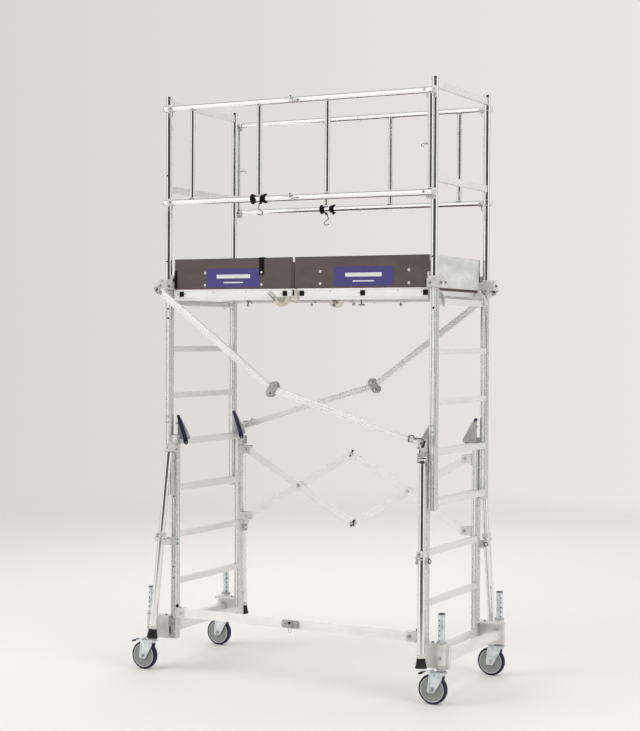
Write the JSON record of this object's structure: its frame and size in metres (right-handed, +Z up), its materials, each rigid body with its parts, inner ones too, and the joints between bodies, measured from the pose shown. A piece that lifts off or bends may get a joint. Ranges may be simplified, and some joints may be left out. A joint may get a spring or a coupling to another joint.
{
  "type": "mobile scaffold tower",
  "caption": "Mobile access tower on braked casters: telescoping ladder frames, folding scissor base, railed platform with toe boards, diagonal braces and stabilisers.",
  "frame": {"origin": "floor level under the centre of the tower's outline", "axes": "X along the platform, Y across it towards the back, Z up"},
  "size_m": [1.857, 0.9594, 3.083],
  "materials": {
    "aluminium": "satin extruded",
    "cast_alloy": "as cast",
    "zinc_steel": "zinc plated",
    "film_ply": "phenolic film faced",
    "pale_board": "laminated",
    "wheel_core": "moulded, dark tyre",
    "lever_black": "moulded",
    "deck_ply": "anti-slip film"
  },
  "bodies": {
    "base": {"lower_uprights": "aluminium", "lower_rungs": "aluminium", "foot_castings": "cast_alloy", "end_beams": "aluminium", "scissor_bars": "aluminium", "scissor_clips": "cast_alloy", "ledger_clips": "cast_alloy", "hook_plates": "cast_alloy", "frame_castings": "cast_alloy"},
    "upper_tower": {"upper_uprights": "aluminium", "upper_rungs": "aluminium", "post_clamps": "cast_alloy", "guard_posts": "aluminium", "end_bars": "aluminium", "side_beams": "aluminium", "cross_tubes": "aluminium", "platform_claws": "cast_alloy", "deck_left": "deck_ply", "deck_right": "deck_ply", "toe_boards_side": "film_ply", "toe_boards_end": "pale_board"},
    "hatch": {"hatch": "deck_ply"},
    "ledger_left": {"ledger_left": "aluminium"},
    "ledger_right": {"ledger_right": "aluminium"},
    "guard_front": {"guard_front_pivot": "aluminium"},
    "guard_front_fold": {"guard_front_free": "aluminium"},
    "guard_back": {"guard_back_pivot": "aluminium"},
    "guard_back_fold": {"guard_back_free": "aluminium"},
    "brace_front": {"brace_upper_front": "aluminium"},
    "brace_front_foot": {"brace_lower_front": "aluminium"},
    "brace_back": {"brace_upper_back": "aluminium"},
    "brace_back_foot": {"brace_lower_back": "aluminium"},
    "jack_fl": {"jack_stem_fl": "zinc_steel"},
    "fork_fl": {"caster_fork_fl": "zinc_steel"},
    "wheel_fl": {"wheel_fl": "wheel_core"},
    "pedal_fl": {"brake_pedal_fl": "zinc_steel"},
    "lever_fl": {"hook_lever_fl": "lever_black"},
    "stabiliser_fl": {"stay_arm_fl": "aluminium"},
    "stabiliser_leg_fl": {"stay_leg_fl": "aluminium"},
    "jack_fr": {"jack_stem_fr": "zinc_steel"},
    "fork_fr": {"caster_fork_fr": "zinc_steel"},
    "wheel_fr": {"wheel_fr": "wheel_core"},
    "pedal_fr": {"brake_pedal_fr": "zinc_steel"},
    "lever_fr": {"hook_lever_fr": "lever_black"},
    "stabiliser_fr": {"stay_arm_fr": "aluminium"},
    "stabiliser_leg_fr": {"stay_leg_fr": "aluminium"},
    "jack_bl": {"jack_stem_bl": "zinc_steel"},
    "fork_bl": {"caster_fork_bl": "zinc_steel"},
    "wheel_bl": {"wheel_bl": "wheel_core"},
    "pedal_bl": {"brake_pedal_bl": "zinc_steel"},
    "lever_bl": {"hook_lever_bl": "lever_black"},
    "stabiliser_bl": {"stay_arm_bl": "aluminium"},
    "stabiliser_leg_bl": {"stay_leg_bl": "aluminium"},
    "jack_br": {"jack_stem_br": "zinc_steel"},
    "fork_br": {"caster_fork_br": "zinc_steel"},
    "wheel_br": {"wheel_br": "wheel_core"},
    "pedal_br": {"brake_pedal_br": "zinc_steel"},
    "lever_br": {"hook_lever_br": "lever_black"},
    "stabiliser_br": {"stay_arm_br": "aluminium"},
    "stabiliser_leg_br": {"stay_leg_br": "aluminium"}
  },
  "joints": [
    {"name": "tower_height", "type": "slide", "parent": "base", "child": "upper_tower", "axis": [0, 0, 1], "range_m": [-0.5, 0]},
    {"name": "hatch_hinge", "type": "hinge", "parent": "upper_tower", "child": "hatch", "pos_m": [-0.351, 0.235, 2.049], "axis": [-1, 0, 0], "range_deg": [0, 95]},
    {"name": "ledger_left_swing", "type": "hinge", "parent": "base", "child": "ledger_left", "pos_m": [-0.628, -0.357, 0.318], "axis": [0, -1, 0], "range_deg": [0, 85]},
    {"name": "ledger_right_swing", "type": "hinge", "parent": "base", "child": "ledger_right", "pos_m": [0.716, -0.357, 0.318], "axis": [0, 1, 0], "range_deg": [0, 85]},
    {"name": "guard_front_swing", "type": "hinge", "parent": "upper_tower", "child": "guard_front", "pos_m": [-0.734, -0.34, 2.8], "axis": [0, 0, -1], "range_deg": [0, 90]},
    {"name": "guard_front_fold_hinge", "type": "hinge", "parent": "guard_front", "child": "guard_front_fold", "pos_m": [0.044, -0.405, 2.8], "axis": [0, 0, -1], "range_deg": [0, 175]},
    {"name": "brace_front_drop", "type": "hinge", "parent": "upper_tower", "child": "brace_front", "pos_m": [-0.731, -0.42, 2.034], "axis": [0, 1, 0], "range_deg": [0, 40]},
    {"name": "brace_front_elbow", "type": "hinge", "parent": "brace_front", "child": "brace_front_foot", "pos_m": [-0.042, -0.42, 1.53], "axis": [0, -1, 0], "range_deg": [0, 34]},
    {"name": "guard_back_swing", "type": "hinge", "parent": "upper_tower", "child": "guard_back", "pos_m": [0.822, 0.34, 2.8], "axis": [0, 0, -1], "range_deg": [0, 90]},
    {"name": "guard_back_fold_hinge", "type": "hinge", "parent": "guard_back", "child": "guard_back_fold", "pos_m": [0.044, 0.405, 2.8], "axis": [0, 0, -1], "range_deg": [0, 175]},
    {"name": "brace_back_drop", "type": "hinge", "parent": "upper_tower", "child": "brace_back", "pos_m": [0.819, 0.42, 2.034], "axis": [0, -1, 0], "range_deg": [0, 40]},
    {"name": "brace_back_elbow", "type": "hinge", "parent": "brace_back", "child": "brace_back_foot", "pos_m": [0.13, 0.42, 1.53], "axis": [0, 1, 0], "range_deg": [0, 34]},
    {"name": "jack_fl_slide", "type": "slide", "parent": "base", "child": "jack_fl", "axis": [0, 0, -1], "range_m": [0, 0.135]},
    {"name": "caster_fl_swivel", "type": "hinge", "parent": "jack_fl", "child": "fork_fl", "pos_m": [-0.807, -0.384, 0.16], "axis": [0, 0, 1], "continuous": true},
    {"name": "wheel_fl_spin", "type": "hinge", "parent": "fork_fl", "child": "wheel_fl", "pos_m": [-0.851, -0.384, 0.075], "axis": [0, 1, 0], "continuous": true},
    {"name": "pedal_fl_hinge", "type": "hinge", "parent": "fork_fl", "child": "pedal_fl", "pos_m": [-0.857, -0.384, 0.164], "axis": [0, -1, 0], "range_deg": [0, 12]},
    {"name": "lever_fl_hinge", "type": "hinge", "parent": "base", "child": "lever_fl", "pos_m": [-0.704, -0.293, 1.366], "axis": [0, -1, 0], "range_deg": [0, 20], "stiffness_Nm_per_rad": 0.5},
    {"name": "stabiliser_fl_swing", "type": "hinge", "parent": "base", "child": "stabiliser_fl", "pos_m": [-0.697, -0.385, 1.205], "axis": [-0.7126, 0.7016, 0], "range_deg": [0, 40]},
    {"name": "stabiliser_fl_extend", "type": "slide", "parent": "stabiliser_fl", "child": "stabiliser_leg_fl", "axis": [-0.0623, -0.0633, -0.996], "range_m": [0, 0.4]},
    {"name": "jack_fr_slide", "type": "slide", "parent": "base", "child": "jack_fr", "axis": [0, 0, -1], "range_m": [0, 0.135]},
    {"name": "caster_fr_swivel", "type": "hinge", "parent": "jack_fr", "child": "fork_fr", "pos_m": [0.895, -0.384, 0.16], "axis": [0, 0, 1], "continuous": true},
    {"name": "wheel_fr_spin", "type": "hinge", "parent": "fork_fr", "child": "wheel_fr", "pos_m": [0.851, -0.384, 0.075], "axis": [0, 1, 0], "continuous": true},
    {"name": "pedal_fr_hinge", "type": "hinge", "parent": "fork_fr", "child": "pedal_fr", "pos_m": [0.845, -0.384, 0.164], "axis": [0, -1, 0], "range_deg": [0, 12]},
    {"name": "lever_fr_hinge", "type": "hinge", "parent": "base", "child": "lever_fr", "pos_m": [0.792, -0.293, 1.366], "axis": [0, 1, 0], "range_deg": [0, 20], "stiffness_Nm_per_rad": 0.5},
    {"name": "stabiliser_fr_swing", "type": "hinge", "parent": "base", "child": "stabiliser_fr", "pos_m": [0.785, -0.385, 1.205], "axis": [-0.908, -0.4191, 0], "range_deg": [0, 40]},
    {"name": "stabiliser_fr_extend", "type": "slide", "parent": "stabiliser_fr", "child": "stabiliser_leg_fr", "axis": [0.0293, -0.0634, -0.9976], "range_m": [0, 0.4]},
    {"name": "jack_bl_slide", "type": "slide", "parent": "base", "child": "jack_bl", "axis": [0, 0, -1], "range_m": [0, 0.135]},
    {"name": "caster_bl_swivel", "type": "hinge", "parent": "jack_bl", "child": "fork_bl", "pos_m": [-0.807, 0.384, 0.16], "axis": [0, 0, 1], "continuous": true},
    {"name": "wheel_bl_spin", "type": "hinge", "parent": "fork_bl", "child": "wheel_bl", "pos_m": [-0.851, 0.384, 0.075], "axis": [0, 1, 0], "continuous": true},
    {"name": "pedal_bl_hinge", "type": "hinge", "parent": "fork_bl", "child": "pedal_bl", "pos_m": [-0.857, 0.384, 0.164], "axis": [0, -1, 0], "range_deg": [0, 12]},
    {"name": "lever_bl_hinge", "type": "hinge", "parent": "base", "child": "lever_bl", "pos_m": [-0.704, 0.293, 1.366], "axis": [0, -1, 0], "range_deg": [0, 20], "stiffness_Nm_per_rad": 0.5},
    {"name": "stabiliser_bl_swing", "type": "hinge", "parent": "base", "child": "stabiliser_bl", "pos_m": [-0.697, 0.385, 1.205], "axis": [0.908, 0.4191, 0], "range_deg": [0, 40]},
    {"name": "stabiliser_bl_extend", "type": "slide", "parent": "stabiliser_bl", "child": "stabiliser_leg_bl", "axis": [-0.0293, 0.0634, -0.9976], "range_m": [0, 0.4]},
    {"name": "jack_br_slide", "type": "slide", "parent": "base", "child": "jack_br", "axis": [0, 0, -1], "range_m": [0, 0.135]},
    {"name": "caster_br_swivel", "type": "hinge", "parent": "jack_br", "child": "fork_br", "pos_m": [0.895, 0.384, 0.16], "axis": [0, 0, 1], "continuous": true},
    {"name": "wheel_br_spin", "type": "hinge", "parent": "fork_br", "child": "wheel_br", "pos_m": [0.851, 0.384, 0.075], "axis": [0, 1, 0], "continuous": true},
    {"name": "pedal_br_hinge", "type": "hinge", "parent": "fork_br", "child": "pedal_br", "pos_m": [0.845, 0.384, 0.164], "axis": [0, -1, 0], "range_deg": [0, 12]},
    {"name": "lever_br_hinge", "type": "hinge", "parent": "base", "child": "lever_br", "pos_m": [0.792, 0.293, 1.366], "axis": [0, 1, 0], "range_deg": [0, 20], "stiffness_Nm_per_rad": 0.5},
    {"name": "stabiliser_br_swing", "type": "hinge", "parent": "base", "child": "stabiliser_br", "pos_m": [0.785, 0.385, 1.205], "axis": [0.8163, -0.5777, 0], "range_deg": [0, 40]},
    {"name": "stabiliser_br_extend", "type": "slide", "parent": "stabiliser_br", "child": "stabiliser_leg_br", "axis": [0.0448, 0.0633, -0.997], "range_m": [0, 0.4]}
  ],
  "couplings": [
    {"joint": "ledger_right_swing", "follows": "ledger_left_swing", "ratio": 1},
    {"joint": "brace_front_elbow", "follows": "tower_height", "rad_per_m": -1.159},
    {"joint": "brace_back_elbow", "follows": "tower_height", "rad_per_m": -1.159}
  ]
}
